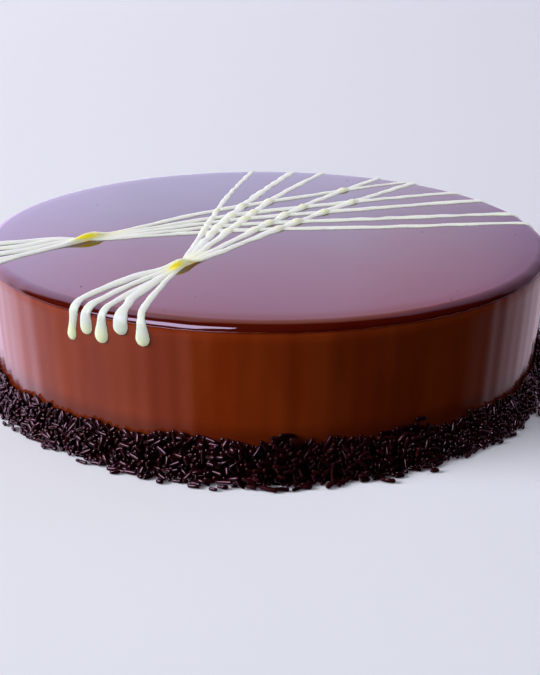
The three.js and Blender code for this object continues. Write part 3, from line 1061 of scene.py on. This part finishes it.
def sprinkle_core(heap):
    """The dark inside of the heap, a near-black core whose colour is painted shade between the
    sprinkles.
    """
    steps = 480
    rise, spread = heap.scale(full_circle(steps))
    level = np.linspace(0, 1, 9) * (HEAP_HEIGHT * rise[:, None] - CORE_DROP)
    out = np.clip(heap_reach(level / rise[:, None]) * spread[:, None] - CORE_INSET, 0.1, None)
    wall = np.full((steps, 1), CAKE_RADIUS + 0.05)
    radius = np.hstack([wall, wall + out + rng.normal(0, 0.18, out.shape), wall])
    height = np.hstack([0 * wall, level, level[:, -1:]])
    points, faces = turned(radius, height, closed=True)
    add_piece("sprinkle_core", points, faces, deep_shade(), "chocolate_sprinkles", ["sprinkle_ring"])


def sprinkle_heap():
    heap = Heap()
    sprinkle_core(heap)
    centre, axis, length, radius = poured(heap)
    half = half_rod(length, radius)
    centre, axis = settled(centre, axis, half, radius, heap)
    centre = drawn_up(centre, axis, half, radius, heap)
    heaped = (centre, axis, length, radius)
    centre, axis, length, radius = (np.concatenate(both) for both in zip(heaped, scattered(heap)))
    half = half_rod(length, radius)
    long = length >= LONG_SPRINKLE
    for name, chosen in (("long_sprinkles", long), ("short_sprinkles", ~long)):
        points, faces, each = sprinkle_mesh(centre[chosen], axis[chosen], half[chosen], radius[chosen])
        tone = np.repeat(rng.uniform(0, 1, chosen.sum()), each)
        material = dark_sprinkles(name)
        add_piece(name, points, faces, material, "chocolate_sprinkles", ["sprinkle_ring"], tone=tone)


# ---- the studio ----


def camera():
    tilt, roll = 0.3995, 0.0059
    distance = 3.18 * CAKE_RADIUS * MM
    data = bpy.data.cameras.new("camera")
    data.lens = 43.15
    data.shift_x = 0.0067
    data.shift_y = -0.0012
    data.clip_start = 0.01
    data.clip_end = 500
    eye = laid_down("camera", data)
    place = Matrix.Translation((0, -distance * math.cos(tilt), distance * math.sin(tilt)))
    aim = Matrix.Rotation(math.pi / 2 - tilt, 4, "X") @ Matrix.Rotation(roll, 4, "Z")
    eye.matrix_world = place @ aim
    bpy.context.scene.camera = eye


def sun(name, azimuth, elevation, strength, softness, colour):
    """A far soft light that mirrors don't show. Azimuth 0 is behind the cake, 90 on its right."""
    data = bpy.data.lights.new(name, "SUN")
    data.energy = strength
    data.angle = math.radians(softness)
    data.color = colour
    light = laid_down(name, data)
    light.rotation_euler = (math.radians(90 - elevation), 0, math.radians(180 - azimuth))
    light.visible_glossy = False


def stage_piece(name, points, faces, material, *unseen):
    """A piece of the studio that doesn't show to some kinds of ray."""
    made = laid_down(name, mesh_of(name, points, faces, material))
    for ray in unseen:
        setattr(made, "visible_" + ray, False)
    return made


def ring_at(radius, height):
    return [(radius * math.cos(a), radius * math.sin(a), height) for a in full_circle(96)]


def soft_window():
    """A tall bright window to the front left, seen only in what shines."""
    distance, bulge = 3.0, 1.1
    material = Finish("window_light").shine((0.80, 0.67, 1.0), 13.0)
    outline = [
        (-104, 28), (-104, 52), (-112, 57), (-122, 62), (-136, 64), (-150, 66), (-163, 65),
        (-163, 52), (-159, 41), (-152, 28), (-138, 27), (-118, 27),
    ]  # azimuths and elevations
    spots = []
    for azimuth, elevation in outline:
        a, e = math.radians(azimuth), math.radians(elevation)
        way = np.array([math.sin(a) * math.cos(e), math.cos(a) * math.cos(e), math.sin(e)])
        spots.append(way * distance)
    spots.append(np.mean(spots, axis=0) * bulge)
    count = len(outline)
    faces = [(k, (k + 1) % count, count) for k in range(count)]
    card = stage_piece("window_card", spots, faces, material, "camera", "diffuse", "shadow")


def dark_flag():
    """A black card on edge in front of the cake. It keeps the window off the sprinkles on its right."""
    finish = Finish("flag_black")
    cover = finish.mix(finish.noise(40).between(0.4, 0.6), (0, 0, 0), (0.001, 0.001, 0.001))
    material = finish.shade(cover, 1.0, Specular_IOR_Level=0.0)
    side = -0.012
    near, far, low, high = -0.119, -0.60, 0.006, 0.13
    corners = [(side, near, low), (side, far, low), (side, far, high), (side, near, high)]
    faces = [(0, 1, 2, 3)]
    card = stage_piece("dark_flag", corners, faces, material, "camera", "diffuse", "shadow")


def studio_room():
    """What the glaze mirrors: a soft lavender wall behind that turns warm and dark overhead."""
    world = bpy.data.worlds.new("studio")
    bpy.context.scene.world = world
    world.cycles_visibility.diffuse = False
    finish = Finish("studio", world)
    x, y, z = finish.axes(finish.node("ShaderNodeTexCoord", output="Generated"))
    sweep = [
        (-0.75, (2.1, 1.45, 2.2)), (-0.50, (2.05, 1.50, 2.6)), (-0.30, (1.65, 1.50, 2.35)),
        (-0.15, (1.28, 1.26, 1.86)), (0.0, (1.18, 1.16, 1.73)), (0.10, (1.16, 1.14, 1.65)),
        (0.17, (1.08, 0.97, 1.40)), (0.25, (0.94, 0.81, 1.22)), (0.31, (0.76, 0.62, 1.04)),
        (0.45, (0.60, 0.42, 0.70)), (0.60, (0.45, 0.32, 0.52)), (0.75, (0.28, 0.20, 0.32)),
    ]
    stops = [((place + 1) / 2, colour) for place, colour in sweep]
    wall = finish.node("ShaderNodeValToRGB", {"stops": stops}, x * 0.5 + 0.5)
    middle = (1 - x.between(-0.14, -0.42)) * (1 - x.between(0.22, 0.45))
    climb = [
        (0.0, (1, 1, 1)), (0.24, (1, 1, 1)), (0.295, (1.17, 0.93, 0.94)), (0.345, (1.32, 0.88, 0.93)),
        (0.42, (1.25, 0.70, 0.66)), (0.50, (1.12, 0.54, 0.43)), (0.72, (1.30, 0.62, 0.44)),
        (0.88, (1.25, 0.56, 0.28)), (0.95, (0.75, 0.35, 0.11)), (1.0, (0.05, 0.02, 0.01)),
    ]
    warm = finish.node("ShaderNodeValToRGB", {"stops": climb}, z)
    above = finish.tint(wall, finish.mix(middle, (1, 1, 1), warm))
    above = finish.mix(y.between(0.20, 0.42), (0, 0, 0), above)
    left = finish.mix(x.between(-0.34, -0.52), (0, 0, 0), (0.28, 0.26, 0.31))
    left = finish.mix(x.between(-0.55, -0.85), left, (0.50, 0.50, 0.62))
    far = finish.mix(y.between(0.0, 0.42), (0, 0, 0), (1.1, 0.90, 1.25))
    right = finish.mix(y.between(-0.10, 0.70), (0, 0, 0), (0.66, 0.51, 0.62))
    below = finish.mix(x.between(-0.03, 0.03), finish.add(left, far), right)
    light = finish.mix(z.between(-0.02, 0.03), below, above)
    finish.end(finish.node("ShaderNodeBackground", None, light, 1.0), "ShaderNodeOutputWorld")


def pale_floor():
    """A wide pale floor with painted shade, a little darker to the right, that throws no light back."""
    radius, below = 60, -0.0002
    finish = Finish("pale_floor")
    x, y, _ = finish.axes(finish.place())
    # Painted shade: the floor darkens to the right, away from the light.
    across = (x / (y.maths("ABSOLUTE") + 0.35)).between(-0.55, 0.6)
    colour = finish.mix(across, (0.705, 0.73, 0.815), (0.605, 0.615, 0.72))
    material = finish.shade(colour, 0.7, Specular_IOR_Level=0.1)
    ring = ring_at(radius, below)
    faces = [tuple(range(len(ring)))]
    floor = stage_piece("pale_floor", ring, faces, material, "glossy", "diffuse")


def pale_backdrop():
    """A far pale wall all round, for the eye only."""
    radius, bottom, top = 59, -1, 120
    material = Finish("pale_backdrop").shine((0.80, 0.81, 0.90), 1.0)
    points = ring_at(radius, bottom) + ring_at(radius, top)
    faces = sleeve(2, len(points) // 2)
    wall = stage_piece("pale_backdrop", points, faces, material, "glossy", "diffuse", "shadow")


glazed_cake()
glaze_bubbles()
milk_chocolate_band()
piped_lines()
sprinkle_heap()

camera()
studio_room()
soft_window()
dark_flag()
sun("left_light", -102, 25, 5.3, 32, (1.0, 1.0, 0.98))
sun("front_light", -155, 45, 0.86, 60, (1.0, 1.0, 0.98))
sun("right_light", 80, 45, 0.78, 70, (1.0, 1.0, 1.0))
pale_floor()
pale_backdrop()
bpy.context.scene.view_settings.view_transform = "Standard"
